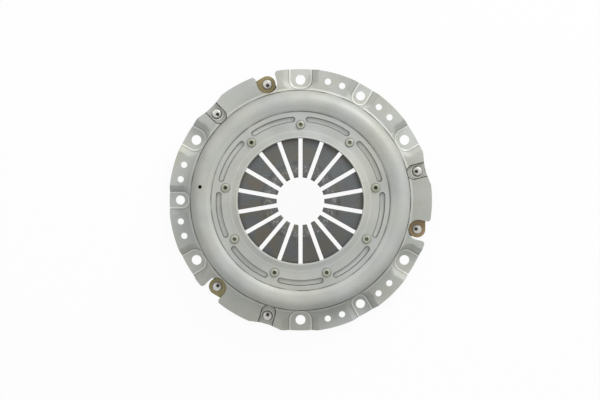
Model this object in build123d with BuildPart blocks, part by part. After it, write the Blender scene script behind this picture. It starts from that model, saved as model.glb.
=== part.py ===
"""Clutch cover assembly: a pressed cover, a diaphragm spring, a pressure plate and its drive straps.

The origin is on the clutch axis, in the plane where the cover bolts to the flywheel.
+Z points away from the flywheel, towards the release bearing. The plate stands at rest, unbolted.
"""

import os
from math import cos, radians, sin, tan

from build123d import *

os.makedirs("parts", exist_ok=True)

# Driving dimensions, in millimetres and degrees.

# Cover, a steel pressing, worked out from the rim inwards
cover_diameter = 242.0
sheet = 3.0
cover_height = 37.0
flange_rise = 9.8
flange_width = 19.8
dome_draft = 6.0
crown_width = 13.1
crown_slope_width = 4.2
ledge_width = 17.0
ledge_drop = 3.5
lip_width = 6.5
lip_rise = 2.0
wall_fillet = 3.0
shoulder_fillet = 9.0

# Bolt and dowel pads, the three levels of the flange
bolt_edge = 9.8
bolt_hole = 9.2
bolt_count = 6
first_bolt_angle = 30.0
bolt_pad_width = 20.0
bolt_pad_setback = 2.2
bolt_pad_corner = 8.0
dowel_hole = 8.5
dowel_count = 3
first_dowel_angle = 60.0
dowel_pad_width = 14.5
dowel_pad_setback = 1.8
dowel_pad_corner = 7.0
pad_side_slope = 27.0
pad_end_slope = 7.0
balance_hole = 5.9
balance_edge = 9.0
balance_offsets = (10.0, 17.0)
gauge_hole = 3.3
gauge_angle = 171.9
gauge_inset = 6.5

# Drive straps: three packs of thin spring leaves, from the cover's pockets to the plate's lugs
pack_count = 3
leaf_count = 3
leaf_thickness = 0.4
leaf_gap = 0.01
strap_width = 15.3
strap_spread = 28.0
strap_edge = 10.0
strap_hole = 6.1
strap_flat = 11.0
strap_bend = 20.0
pocket_width = 14.1
pocket_depth = 2.8
pocket_reach = 10.6
pocket_side_slope = 12.0
pocket_rim_trim = 1.2
notch_clearance = 1.65
notch_reach = 8.4
notch_rim_fillet = 3.0

# Strap rivets
strap_rivet_shank = 6.0
strap_rivet_head = 8.6
strap_rivet_head_height = 1.7
strap_rivet_mark = 3.6
strap_rivet_mark_depth = 0.8
strap_rivet_mark_offset = 1.2
strap_rivet_crown = 5.6
strap_rivet_edge = 0.9
strap_rivet_foot = 9.6
strap_rivet_foot_height = 1.6

# Diaphragm spring
spring_thickness = 2.4
spring_overhang = 13.95
spring_ring_slope = 14.0
finger_slope = 11.3
finger_bend_inset = 2.5
finger_bore = 43.2
finger_tip_length = 9.5
finger_tip_drop = 0.6
finger_count = 18
first_slot_angle = 10.0
slot_width = 3.75
root_hole = 8.6

# Fulcrum: the cover's beads above the spring, a wire ring below it, and the rivets that hold the ring
rivet_count = 9
first_rivet_angle = 10.0
rivet_inset = 12.0
rivet_head = 7.4
rivet_head_height = 1.6
rivet_dimple = 3.3
rivet_dimple_depth = 1.2
rivet_shank = 5.4
rivet_shoulder = 6.6
rivet_foot = 13.0
rivet_foot_height = 2.5
rivet_edge_chamfer = 0.6
rivet_dimple_taper = 0.3
wire = 3.6
wire_joint_gap = 1.5
bead_width = 4.5
bead_wall = 0.75
bead_depth = 2.4
bead_half_angle = 14.4
bead_nose_chamfer = 1.6

# Pressure plate, an iron casting
friction_face_height = 1.0
plate_travel = 2.8
plate_clearance = 1.25
plate_face_width = 32.5
plate_thickness = 13.0
plate_chamfer = 1.0
land_inset = 2.5
land_width = 6.4
land_flat = 2.0
land_count = 12
land_gap = 9.0
lug_relief = 0.2
lug_thickness = 4.0
lug_width = 14.8
lug_root = 8.0

# Fits
rivet_clearance = 0.02
ring_clearance = 0.05
seat_gap = 0.02
corner_margin = 0.2
land_clearance = 0.1
cut_overrun = 5.0

# Levels of the cover
flange_top = flange_rise + sheet
ledge_top = cover_height - ledge_drop
ledge_underside = ledge_top - sheet
pocket_underside = flange_rise - pocket_depth
pocket_floor = pocket_underside + sheet
well_top = flange_top + wall_fillet + 0.2

# Radii of the cover
cover_radius = cover_diameter / 2
wall_radius = cover_radius - flange_width
crown_outer = wall_radius - (cover_height - flange_top) * tan(radians(dome_draft))
crown_inner = crown_outer - crown_width
ledge_outer = crown_inner - crown_slope_width
ledge_inner = ledge_outer - ledge_width
bore_radius = ledge_inner - lip_width
bolt_circle_radius = cover_radius - bolt_edge
balance_radius = cover_radius - balance_edge
strap_rivet_radius = cover_radius - strap_edge
gauge_radius = crown_outer - gauge_inset
notch_width = strap_width + 2 * notch_clearance


def cavity_radius(height):
    """Radius of the dome wall's inner face at a height below the shoulder."""
    draft = radians(dome_draft)
    return wall_radius + (flange_top - height) * tan(draft) - sheet / cos(draft)


# Fulcrum and spring
rivet_circle_radius = ledge_outer - rivet_inset
fulcrum_radius = rivet_circle_radius + rivet_shoulder / 2 + ring_clearance + wire / 2
bead_half_width = bead_width / 2 + bead_wall
bead_bottom = ledge_underside - bead_depth
nose_radius = fulcrum_radius - bead_half_width + bead_nose_chamfer
finger_bend_radius = fulcrum_radius - finger_bend_inset
spring_radius = fulcrum_radius + spring_overhang
finger_bore_radius = finger_bore / 2
tip_radius = finger_bore_radius + finger_tip_length


def spring_top(radius):
    """Height of the spring's upper face, which bears on the inner shoulder of the beads."""
    slope = radians(spring_ring_slope)
    seat = bead_bottom - seat_gap / cos(slope)
    if radius >= finger_bend_radius:
        return seat - (radius - nose_radius) * tan(slope)
    bend = seat - (finger_bend_radius - nose_radius) * tan(slope)
    return bend + (finger_bend_radius - radius) * tan(radians(finger_slope))


def below_spring(radius, distance):
    """Height of a centre that stands clear of the spring's lower face by a distance along its normal."""
    return spring_top(radius) - (spring_thickness + distance) / cos(radians(spring_ring_slope))


wire_height = below_spring(fulcrum_radius, wire / 2 + seat_gap)
foot_top = wire_height - wire / 2

# Pressure plate
plate_top = friction_face_height + plate_thickness
plate_radius = cavity_radius(plate_top + plate_travel) - plate_clearance
plate_bore_radius = plate_radius - plate_face_width
land_radius = spring_radius - land_inset
land_top = below_spring(land_radius + land_flat / 2, land_clearance)
lug_bottom = friction_face_height + lug_relief
lug_top = lug_bottom + lug_thickness
leaf_pitch = leaf_thickness + leaf_gap
strap_pack = leaf_count * leaf_pitch - leaf_gap
strap_low_top = lug_top + strap_pack
chord_radius = strap_rivet_radius * cos(radians(strap_spread / 2))
half_chord = strap_rivet_radius * sin(radians(strap_spread / 2))


def radial_plane(angle, radius=0.0):
    """Upright plane through the clutch axis. Its X points outwards and its Y points up."""
    outward = (cos(radians(angle)), sin(radians(angle)), 0)
    origin = (radius * outward[0], radius * outward[1], 0)
    return Plane(origin=origin, x_dir=outward, z_dir=(outward[1], -outward[0], 0))


def tangent_plane(angle, radius):
    """Upright plane across a radius. Its X points anticlockwise and its Y points up."""
    outward = (cos(radians(angle)), sin(radians(angle)), 0)
    origin = (radius * outward[0], radius * outward[1], 0)
    return Plane(origin=origin, x_dir=(-outward[1], outward[0], 0), z_dir=outward)


def flat_plane(angle, radius=0.0, height=0.0):
    """Level plane on a radius. Its X points outwards."""
    outward = (cos(radians(angle)), sin(radians(angle)), 0)
    origin = (radius * outward[0], radius * outward[1], height)
    return Plane(origin=origin, x_dir=outward, z_dir=(0, 0, 1))


def rim_trough(inner, half_width, corner, floor, top, side_slope, end_slope):
    """Solid of a pressed trough that opens at the rim, with sloping sides and round inner corners."""
    outer = cover_radius + 2 * cut_overrun
    with BuildPart() as trough:
        for height in (floor, top):
            end = inner - (height - floor) * tan(radians(end_slope))
            half = half_width + (height - floor) * tan(radians(side_slope))
            with BuildSketch(Plane.XY.offset(height)) as outline:
                with Locations(((end + outer) / 2, 0)):
                    Rectangle(outer - end, 2 * half)
                fillet(outline.vertices().group_by(Axis.X)[0], corner)
        loft(ruled=True)
    return trough.part


def pressed_skin(half_width, side_slope):
    """Half width of the sheet's underside where the upper side has a given half width at its floor."""
    return half_width + sheet * tan(radians(90 - side_slope) / 2)


# Undersides of the pads and pockets, as solid blocks let down from the flange
bolt_half = bolt_pad_width / 2
dowel_half = dowel_pad_width / 2
pocket_half = pocket_width / 2
block_inner = cavity_radius(0) - sheet
block_top = flange_rise + sheet / 2
room_top = block_top + corner_margin
bolt_block = rim_trough(
    block_inner, pressed_skin(bolt_half, pad_side_slope), bolt_pad_corner,
    0, block_top, pad_side_slope, 0,
)
dowel_block = rim_trough(
    block_inner, pressed_skin(dowel_half, pad_side_slope), dowel_pad_corner,
    0, block_top, pad_side_slope, 0,
)
pocket_block = rim_trough(
    strap_rivet_radius - pocket_reach - sheet, pressed_skin(pocket_half, pocket_side_slope),
    pocket_half, pocket_underside, block_top, pocket_side_slope, 0,
)

# Upper sides of the pads and pockets, as the space above them
bolt_well = rim_trough(
    wall_radius + bolt_pad_setback, bolt_half, bolt_pad_corner,
    sheet, well_top, pad_side_slope, pad_end_slope,
)
dowel_well = rim_trough(
    wall_radius + dowel_pad_setback, dowel_half, dowel_pad_corner,
    sheet, well_top, pad_side_slope, pad_end_slope,
)
pocket_well = rim_trough(
    strap_rivet_radius - pocket_reach, pocket_half, pocket_half - corner_margin,
    pocket_floor, well_top, pocket_side_slope, 0,
)

# Fulcrum bead: a rounded rib below the ledge and a groove above it, both along one arc
first_bead_angle = first_rivet_angle + 180 / rivet_count
bead_line = CenterArc((0, 0), fulcrum_radius, -bead_half_angle, 2 * bead_half_angle)
with BuildPart() as bead_rib:
    with BuildSketch(Plane.XY.offset(ledge_underside + sheet / 2)):
        SlotArc(bead_line, 2 * bead_half_width)
    extrude(amount=bead_bottom - ledge_underside - sheet / 2)
    chamfer(bead_rib.faces().sort_by(Axis.Z)[0].edges(), bead_nose_chamfer)
with BuildPart() as bead_groove:
    with BuildSketch(Plane.XY.offset(ledge_top + sheet / 2)):
        SlotArc(bead_line, bead_width)
    extrude(amount=-bead_depth - sheet / 2)

# Cover: the dome and the raised flange are one revolved sheet of even thickness
with BuildPart() as cover:
    with BuildSketch(Plane.XZ):
        with BuildLine():
            Polyline(
                (bore_radius, ledge_top + lip_rise),
                (ledge_inner, ledge_top),
                (ledge_outer, ledge_top),
                (crown_inner, cover_height),
            )
            FilletPolyline(
                (crown_inner, cover_height),
                (crown_outer, cover_height),
                (wall_radius, flange_top),
                (cover_radius + cut_overrun, flange_top),
                radius=[shoulder_fillet, wall_fillet],
            )
            offset(amount=sheet, side=Side.RIGHT, kind=Kind.INTERSECTION)
        make_face()
    revolve(axis=Axis.Z)

    # Undersides of the pads and pockets, let down from the flange as blocks
    with PolarLocations(0, bolt_count, first_bolt_angle):
        add(bolt_block)
    with PolarLocations(0, dowel_count, first_dowel_angle):
        add(dowel_block)
    with PolarLocations(0, pack_count, strap_spread / 2):
        add(pocket_block)

    # Room for the pressure plate, cut back to the line of the dome's inner wall
    with BuildSketch(Plane.XZ):
        with BuildLine():
            Polyline(
                (0, -cut_overrun),
                (cavity_radius(-cut_overrun), -cut_overrun),
                (cavity_radius(room_top), room_top),
                (0, room_top),
                close=True,
            )
        make_face()
    revolve(axis=Axis.Z, mode=Mode.SUBTRACT)

    # Upper sides of the pads and pockets
    with PolarLocations(0, bolt_count, first_bolt_angle):
        add(bolt_well, mode=Mode.SUBTRACT)
    with PolarLocations(0, dowel_count, first_dowel_angle):
        add(dowel_well, mode=Mode.SUBTRACT)
    with PolarLocations(0, pack_count, strap_spread / 2):
        add(pocket_well, mode=Mode.SUBTRACT)

    # The rim is blanked to a circle, with notches over the plate's lugs, and trimmed at the pockets
    with BuildSketch(Plane.XY.offset(-cut_overrun)) as waste:
        Circle(cover_radius + 4 * cut_overrun)
        Circle(cover_radius, mode=Mode.SUBTRACT)
        for pack in range(pack_count):
            turn = pack * 360 / pack_count
            notch_centre = strap_rivet_radius - notch_reach + notch_width / 2
            with PolarLocations(notch_centre, 1, turn - strap_spread / 2):
                Circle(notch_width / 2)
                Rectangle(cover_radius, notch_width, align=(Align.MIN, Align.CENTER))
            mouth = flat_plane(turn - strap_spread / 2, cover_radius).origin
            fillet(waste.vertices().sort_by_distance(mouth)[:2], notch_rim_fillet)
            with PolarLocations(cover_radius - pocket_rim_trim, 1, turn + strap_spread / 2):
                Rectangle(4 * cut_overrun, pocket_width, align=(Align.MIN, Align.CENTER))
    extrude(amount=well_top + 2 * cut_overrun, mode=Mode.SUBTRACT)

    # Fulcrum beads, pressed down out of the ledge
    with PolarLocations(0, rivet_count, first_bead_angle):
        add(bead_rib.part)
    with PolarLocations(0, rivet_count, first_bead_angle):
        add(bead_groove.part, mode=Mode.SUBTRACT)

    # Holes for bolts, dowels, balance plugs and rivets
    with BuildSketch(Plane.XY.offset(-cut_overrun)):
        with PolarLocations(bolt_circle_radius, bolt_count, first_bolt_angle):
            Circle(bolt_hole / 2)
        with PolarLocations(bolt_circle_radius, dowel_count, first_dowel_angle):
            Circle(dowel_hole / 2)
        for offset_angle in balance_offsets:
            for side in (-1, 1):
                start = first_dowel_angle + side * offset_angle
                with PolarLocations(balance_radius, dowel_count, start):
                    Circle(balance_hole / 2)
        with PolarLocations(strap_rivet_radius, pack_count, strap_spread / 2):
            Circle(strap_rivet_shank / 2 + rivet_clearance)
        with PolarLocations(rivet_circle_radius, rivet_count, first_rivet_angle):
            Circle(rivet_shank / 2 + rivet_clearance)
        with PolarLocations(gauge_radius, 1, gauge_angle):
            Circle(gauge_hole / 2)
    extrude(amount=cover_height + 2 * cut_overrun, mode=Mode.SUBTRACT)
cover.part.label = "cover"
export_step(cover.part, "parts/cover.step")

# Diaphragm spring: an unbroken conical ring outside, fingers inside, a hole at the root of each slot
with BuildPart() as diaphragm_spring:
    with BuildSketch(Plane.XZ):
        with BuildLine():
            Polyline(
                (finger_bore_radius, spring_top(tip_radius) - finger_tip_drop),
                (tip_radius, spring_top(tip_radius)),
                (finger_bend_radius, spring_top(finger_bend_radius)),
                (spring_radius, spring_top(spring_radius)),
            )
            offset(amount=spring_thickness, side=Side.RIGHT, kind=Kind.INTERSECTION)
        make_face()
    revolve(axis=Axis.Z)
    with BuildSketch():
        for index in range(finger_count):
            angle = first_slot_angle + index * 360 / finger_count
            with PolarLocations(0, 1, angle):
                Rectangle(rivet_circle_radius, slot_width, align=(Align.MIN, Align.CENTER))
            with PolarLocations(rivet_circle_radius, 1, angle):
                Circle(root_hole / 2)
    extrude(amount=cover_height + cut_overrun, mode=Mode.SUBTRACT)
diaphragm_spring.part.label = "diaphragm_spring"
export_step(diaphragm_spring.part, "parts/diaphragm_spring.step")

# Fulcrum ring: round wire bent to a ring, its ends butted together
with BuildPart() as fulcrum_ring:
    joint_angle = wire_joint_gap / radians(fulcrum_radius)
    with BuildSketch(radial_plane(first_bead_angle + joint_angle / 2)):
        with Locations((fulcrum_radius, wire_height)):
            Circle(wire / 2)
    revolve(axis=Axis.Z, revolution_arc=360 - joint_angle)
fulcrum_ring.part.label = "fulcrum_ring"
export_step(fulcrum_ring.part, "parts/fulcrum_ring.step")

# Fulcrum rivets: head on the ledge, shoulder through the spring's root hole, foot under the wire ring
for index in range(rivet_count):
    plane = radial_plane(first_rivet_angle + index * 360 / rivet_count, rivet_circle_radius)
    head_top = ledge_top + rivet_head_height
    with BuildPart() as fulcrum_rivet:
        with BuildSketch(plane):
            with BuildLine():
                Polyline(
                    (0, head_top - rivet_dimple_depth),
                    (rivet_dimple / 2 - rivet_dimple_taper, head_top - rivet_dimple_depth),
                    (rivet_dimple / 2, head_top),
                    (rivet_head / 2 - rivet_edge_chamfer, head_top),
                    (rivet_head / 2, head_top - rivet_edge_chamfer),
                    (rivet_head / 2, ledge_top),
                    (rivet_shank / 2, ledge_top),
                    (rivet_shank / 2, ledge_underside),
                    (rivet_shoulder / 2, ledge_underside),
                    (rivet_shoulder / 2, foot_top),
                    (rivet_foot / 2, foot_top),
                    (rivet_foot / 2, foot_top - rivet_foot_height + rivet_edge_chamfer),
                    (rivet_foot / 2 - rivet_edge_chamfer, foot_top - rivet_foot_height),
                    (0, foot_top - rivet_foot_height),
                    close=True,
                )
            make_face()
        revolve(axis=Axis(plane.origin, (0, 0, 1)))
    fulcrum_rivet.part.label = f"fulcrum_rivet_{index + 1}"
    export_step(fulcrum_rivet.part, f"parts/fulcrum_rivet_{index + 1}.step")

# Pressure plate: friction ring, raised land under the spring's edge, three lugs for the straps
with BuildPart() as pressure_plate:
    with BuildSketch(Plane.XZ) as ring_section:
        with Locations((plate_bore_radius, friction_face_height)):
            Rectangle(plate_face_width, plate_thickness, align=(Align.MIN, Align.MIN))
        chamfer(ring_section.vertices(), plate_chamfer)
    revolve(axis=Axis.Z)
    with BuildSketch(Plane.XZ) as land_section:
        with Locations((land_radius, plate_top - plate_chamfer)):
            Rectangle(
                land_width,
                land_top - plate_top + plate_chamfer,
                align=(Align.CENTER, Align.MIN),
            )
        chamfer(land_section.vertices().group_by(Axis.Y)[-1], (land_width - land_flat) / 2)
    revolve(axis=Axis.Z)
    with BuildSketch(Plane.XY.offset(plate_top)):
        for index in range(land_count):
            with PolarLocations(0, 1, (2 * index + 1) * 180 / land_count):
                Rectangle(cover_radius, land_gap, align=(Align.MIN, Align.CENTER))
    extrude(amount=cover_height, mode=Mode.SUBTRACT)
    for pack in range(pack_count):
        angle = pack * 360 / pack_count - strap_spread / 2
        root = plate_radius - lug_root
        with BuildSketch(flat_plane(angle, 0, lug_bottom)):
            with Locations((root, 0)):
                Rectangle(strap_rivet_radius - root, lug_width, align=(Align.MIN, Align.CENTER))
            with Locations((strap_rivet_radius, 0)):
                Circle(lug_width / 2)
        extrude(amount=lug_thickness)
        with BuildSketch(flat_plane(angle, strap_rivet_radius, lug_bottom)):
            Circle(strap_rivet_foot / 2 + rivet_clearance)
        extrude(amount=strap_rivet_foot_height, mode=Mode.SUBTRACT)
        with BuildSketch(flat_plane(angle, strap_rivet_radius, lug_bottom)):
            Circle(strap_rivet_shank / 2 + rivet_clearance)
        extrude(amount=lug_thickness, mode=Mode.SUBTRACT)
pressure_plate.part.label = "pressure_plate"
export_step(pressure_plate.part, "parts/pressure_plate.step")

# Drive straps: each leaf is a thin strip with round ends and a gentle step between its two seats
for pack in range(pack_count):
    middle = pack * 360 / pack_count
    for leaf in range(leaf_count):
        low = lug_top + leaf * leaf_pitch
        high = pocket_underside - strap_pack + leaf * leaf_pitch
        with BuildPart() as drive_strap:
            with BuildSketch(tangent_plane(middle, chord_radius)):
                with BuildLine():
                    FilletPolyline(
                        (-half_chord - strap_width / 2, low),
                        (strap_flat - half_chord, low),
                        (half_chord - strap_flat, high),
                        (half_chord + strap_width / 2, high),
                        radius=strap_bend,
                    )
                    offset(amount=leaf_thickness, side=Side.LEFT)
                make_face()
            extrude(amount=strap_width / 2, both=True)
            with BuildSketch(flat_plane(middle + 90)):
                with Locations((0, -chord_radius)):
                    SlotCenterToCenter(2 * half_chord, strap_width)
                    with GridLocations(2 * half_chord, 0, 2, 1):
                        Circle(strap_hole / 2, mode=Mode.SUBTRACT)
            extrude(amount=flange_rise, mode=Mode.INTERSECT)
        drive_strap.part.label = f"drive_strap_{pack + 1}_leaf_{leaf + 1}"
        export_step(drive_strap.part, f"parts/drive_strap_{pack + 1}_leaf_{leaf + 1}.step")

# Strap rivets: each holds one end of a strap pack. The punch mark in its head lies towards the axis
for pack in range(pack_count):
    rivets = (
        ("cover_strap_rivet", strap_spread / 2, pocket_floor, pocket_underside - strap_pack),
        ("plate_strap_rivet", -strap_spread / 2, strap_low_top, lug_bottom + strap_rivet_foot_height),
    )
    for kind, turn, seat, foot_seat in rivets:
        angle = pack * 360 / pack_count + turn
        plane = radial_plane(angle, strap_rivet_radius)
        head_top = seat + strap_rivet_head_height
        with BuildPart() as strap_rivet:
            with BuildSketch(plane):
                with BuildLine():
                    Polyline(
                        (0, head_top),
                        (strap_rivet_crown / 2, head_top),
                        (strap_rivet_head / 2, seat + strap_rivet_edge),
                        (strap_rivet_head / 2, seat),
                        (strap_rivet_shank / 2, seat),
                        (strap_rivet_shank / 2, foot_seat),
                        (strap_rivet_foot / 2, foot_seat),
                        (strap_rivet_foot / 2, foot_seat - strap_rivet_foot_height),
                        (0, foot_seat - strap_rivet_foot_height),
                        close=True,
                    )
                make_face()
            revolve(axis=Axis(plane.origin, (0, 0, 1)))
            mark_radius = strap_rivet_radius - strap_rivet_mark_offset
            with BuildSketch(flat_plane(angle, mark_radius, head_top)):
                Circle(strap_rivet_mark / 2)
            extrude(amount=-strap_rivet_mark_depth, mode=Mode.SUBTRACT)
        strap_rivet.part.label = f"{kind}_{pack + 1}"
        export_step(strap_rivet.part, f"parts/{kind}_{pack + 1}.step")
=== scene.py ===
"""Looks of a clutch cover assembly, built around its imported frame.

The clutch axis is +Z and the face that bolts to the flywheel lies in z = 0. Lengths are in metres.
"""

from math import cos, degrees, hypot, pi, radians, sin

import bmesh
import bpy
from mathutils import Matrix, Vector


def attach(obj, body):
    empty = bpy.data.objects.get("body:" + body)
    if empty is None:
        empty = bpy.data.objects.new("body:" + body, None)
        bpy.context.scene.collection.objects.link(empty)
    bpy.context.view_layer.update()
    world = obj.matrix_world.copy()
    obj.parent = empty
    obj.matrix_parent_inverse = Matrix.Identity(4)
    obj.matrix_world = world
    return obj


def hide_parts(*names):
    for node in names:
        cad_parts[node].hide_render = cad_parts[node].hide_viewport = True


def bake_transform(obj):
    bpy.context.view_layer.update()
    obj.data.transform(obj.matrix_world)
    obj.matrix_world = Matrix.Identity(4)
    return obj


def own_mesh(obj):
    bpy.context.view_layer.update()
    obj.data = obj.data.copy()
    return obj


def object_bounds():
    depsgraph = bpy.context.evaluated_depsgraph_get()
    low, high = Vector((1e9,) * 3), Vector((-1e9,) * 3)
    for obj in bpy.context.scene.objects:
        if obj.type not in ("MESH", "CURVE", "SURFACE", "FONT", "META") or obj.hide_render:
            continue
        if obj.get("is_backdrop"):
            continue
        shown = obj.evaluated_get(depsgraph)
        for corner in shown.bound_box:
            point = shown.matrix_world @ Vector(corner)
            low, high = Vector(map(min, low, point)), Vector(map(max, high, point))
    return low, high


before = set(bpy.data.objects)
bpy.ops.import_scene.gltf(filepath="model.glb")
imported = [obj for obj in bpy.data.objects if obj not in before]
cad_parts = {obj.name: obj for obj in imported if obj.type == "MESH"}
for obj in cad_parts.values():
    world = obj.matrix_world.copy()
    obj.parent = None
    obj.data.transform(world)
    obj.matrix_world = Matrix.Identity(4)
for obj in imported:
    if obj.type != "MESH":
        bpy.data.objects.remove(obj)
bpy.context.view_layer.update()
MM = 0.001

# ---- Camera, light and floor -------------------------------------------------------------------
# The assembly lies cover up on a white sweep. The camera looks down from a stand, a little off the
# clutch axis, and large soft boxes hang round it, the strongest at the top of the picture.

picture_width = 600
cover_outline = 242 * MM
outline_share = 263.0 / picture_width
outline_height = 12.8 * MM
camera_reach = 1.7072
camera_tilt = radians(1.8)
sensor = 36.0

camera_data = bpy.data.cameras.new("stand_camera")
camera_data.sensor_width = sensor
camera_data.lens = sensor * outline_share * camera_reach / cover_outline
camera_data.shift_x = -0.5 / picture_width
camera_data.shift_y = 0.4 / picture_width
camera = bpy.data.objects.new("stand_camera", camera_data)
camera.location = (0, camera_reach * sin(camera_tilt), outline_height + camera_reach * cos(camera_tilt))
camera.rotation_euler = (-camera_tilt, 0, 0)
bpy.context.collection.objects.link(camera)
bpy.context.scene.camera = camera
bpy.context.scene.view_settings.view_transform = "Standard"


def soft_box(name, place, size, power):
    """Square area lamp that faces the assembly."""
    lamp = bpy.data.lights.new(name, "AREA")
    lamp.shape = "SQUARE"
    lamp.size = size
    lamp.energy = power
    holder = bpy.data.objects.new(name, lamp)
    holder.location = place
    facing = Vector((0, 0, 20 * MM)) - Vector(place)
    holder.rotation_euler = facing.to_track_quat("-Z", "Y").to_euler()
    bpy.context.collection.objects.link(holder)


soft_box("key_box", (0.74, 1.12, 0.75), size=0.8, power=14.8)
soft_box("left_box", (-0.9, 0.4, 0.9), size=0.7, power=2.0)


def white_backdrop_share(tree):
    """Socket that gives 1 for the rays that see or mirror the backdrop, and 0 for the light itself."""
    path = tree.nodes.new("ShaderNodeLightPath")
    share = path.outputs["Is Camera Ray"]
    for ray in ("Is Glossy Ray", "Is Transmission Ray"):
        either = tree.nodes.new("ShaderNodeMath")
        either.operation = "MAXIMUM"
        tree.links.new(share, either.inputs[0])
        tree.links.new(path.outputs[ray], either.inputs[1])
        share = either.outputs["Value"]
    return share


# The room is bright overhead and dim at the horizon, and its backdrop is white
world = bpy.data.worlds.new("studio")
bpy.context.scene.world = world
world.use_nodes = True
room = world.node_tree
room.nodes.clear()
sky = room.nodes.new("ShaderNodeTexCoord")
overhead = room.nodes.new("ShaderNodeVectorMath")
overhead.operation = "DOT_PRODUCT"
overhead.inputs[1].default_value = (0.17, 0.17, 0.97)
ceiling = room.nodes.new("ShaderNodeMapRange")
ceiling.interpolation_type = "SMOOTHSTEP"
for name, number in (("From Min", 0.0), ("From Max", 0.95), ("To Min", 0.05), ("To Max", 1.14)):
    ceiling.inputs[name].default_value = number
ceiling_light = room.nodes.new("ShaderNodeBackground")
backdrop_light = room.nodes.new("ShaderNodeBackground")
backdrop_light.inputs["Color"].default_value = (0.96, 0.96, 0.96, 1)
room_mix = room.nodes.new("ShaderNodeMixShader")
room_out = room.nodes.new("ShaderNodeOutputWorld")
room.links.new(sky.outputs["Generated"], overhead.inputs[0])
room.links.new(overhead.outputs["Value"], ceiling.inputs["Value"])
room.links.new(ceiling.outputs["Result"], ceiling_light.inputs["Strength"])
room.links.new(white_backdrop_share(room), room_mix.inputs["Fac"])
room.links.new(ceiling_light.outputs["Background"], room_mix.inputs[1])
room.links.new(backdrop_light.outputs["Background"], room_mix.inputs[2])
room.links.new(room_mix.outputs["Shader"], room_out.inputs["Surface"])


def to_object(name, solid):
    """Makes a finished bmesh an object at the origin."""
    mesh = bpy.data.meshes.new(name)
    solid.to_mesh(mesh)
    solid.free()
    piece = bpy.data.objects.new(name, mesh)
    bpy.context.collection.objects.link(piece)
    return piece


# The sweep is matt paper that looks white and still takes the assembly's shadow
sweep = bmesh.new()
bmesh.ops.create_grid(sweep, x_segments=1, y_segments=1, size=1.5)
floor = to_object("floor", sweep)
floor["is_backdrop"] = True
floor_paper = bpy.data.materials.new("white_paper")
floor_paper.use_nodes = True
paper = floor_paper.node_tree
paper.nodes.clear()
paper_matt = paper.nodes.new("ShaderNodeBsdfDiffuse")
paper_glow = paper.nodes.new("ShaderNodeEmission")
paper_share = paper.nodes.new("ShaderNodeMath")
paper_share.operation = "MULTIPLY"
paper_share.inputs[1].default_value = 0.94
paper_mix = paper.nodes.new("ShaderNodeMixShader")
paper_out = paper.nodes.new("ShaderNodeOutputMaterial")
paper.links.new(white_backdrop_share(paper), paper_share.inputs[0])
paper.links.new(paper_share.outputs["Value"], paper_mix.inputs["Fac"])
paper.links.new(paper_matt.outputs["BSDF"], paper_mix.inputs[1])
paper.links.new(paper_glow.outputs["Emission"], paper_mix.inputs[2])
paper.links.new(paper_mix.outputs["Shader"], paper_out.inputs["Surface"])
floor.data.materials.append(floor_paper)

# ---- Pressure plate ----------------------------------------------------------------------------
# A ring of grey cast iron with three lugs for the straps and a raised land that the spring pushes
# on. Its friction face is ground flat; the rest is as cast.


def shader_group(name, inputs, outputs):
    """Empty shader node group with named sockets. Returns the tree and its two end nodes."""
    tree = bpy.data.node_groups.new(name, "ShaderNodeTree")
    for socket, kind, value in inputs:
        item = tree.interface.new_socket(socket, in_out="INPUT", socket_type=kind)
        item.default_value = value
    for socket, kind in outputs:
        tree.interface.new_socket(socket, in_out="OUTPUT", socket_type=kind)
    return tree, tree.nodes.new("NodeGroupInput"), tree.nodes.new("NodeGroupOutput")


def noise(tree, scale, detail=3.0, stretch=(1, 1, 1)):
    """Noise on Object coordinates, with features of about 1 / scale metres. Returns its value socket."""
    place = tree.nodes.new("ShaderNodeTexCoord")
    mapping = tree.nodes.new("ShaderNodeMapping")
    mapping.inputs["Scale"].default_value = stretch
    texture = tree.nodes.new("ShaderNodeTexNoise")
    texture.inputs["Scale"].default_value = scale
    texture.inputs["Detail"].default_value = detail
    tree.links.new(place.outputs["Object"], mapping.inputs["Vector"])
    tree.links.new(mapping.outputs["Vector"], texture.inputs["Vector"])
    return texture.outputs["Fac"]


def ramp(tree, value, low, high, start=0.0, end=1.0):
    """Maps value from low..high to start..end, clamped."""
    node = tree.nodes.new("ShaderNodeMapRange")
    for name, number in (("From Min", low), ("From Max", high), ("To Min", start), ("To Max", end)):
        node.inputs[name].default_value = number
    tree.links.new(value, node.inputs["Value"])
    return node.outputs["Result"]


def calc(tree, operation, first, second):
    """One Math node. Either operand may be a socket or a number."""
    node = tree.nodes.new("ShaderNodeMath")
    node.operation = operation
    for socket, operand in zip(node.inputs, (first, second)):
        if isinstance(operand, (int, float)):
            socket.default_value = operand
        else:
            tree.links.new(operand, socket)
    return node.outputs["Value"]


def blend_colour(tree, share, first, second, mode="MIX"):
    """Mixes two colours, each a socket or an RGB tuple, by a share."""
    node = tree.nodes.new("ShaderNodeMix")
    node.data_type = "RGBA"
    node.blend_type = mode
    for name, operand in (("Factor", share), ("A", first), ("B", second)):
        socket = [item for item in node.inputs if item.name == name and item.enabled][0]
        if isinstance(operand, tuple):
            socket.default_value = (*operand, 1)
        elif isinstance(operand, (int, float)):
            socket.default_value = operand
        else:
            tree.links.new(operand, socket)
    return [item for item in node.outputs if item.enabled][0]


def product(tree, *factors):
    """Product of several sockets or numbers."""
    result = factors[0]
    for factor in factors[1:]:
        result = calc(tree, "MULTIPLY", result, factor)
    return result


def hypotenuse(tree, first, second):
    """Length of the slanted side over two square sides."""
    squares = [calc(tree, "POWER", side, 2.0) for side in (first, second)]
    return calc(tree, "SQRT", calc(tree, "ADD", *squares), 0.0)


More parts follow.
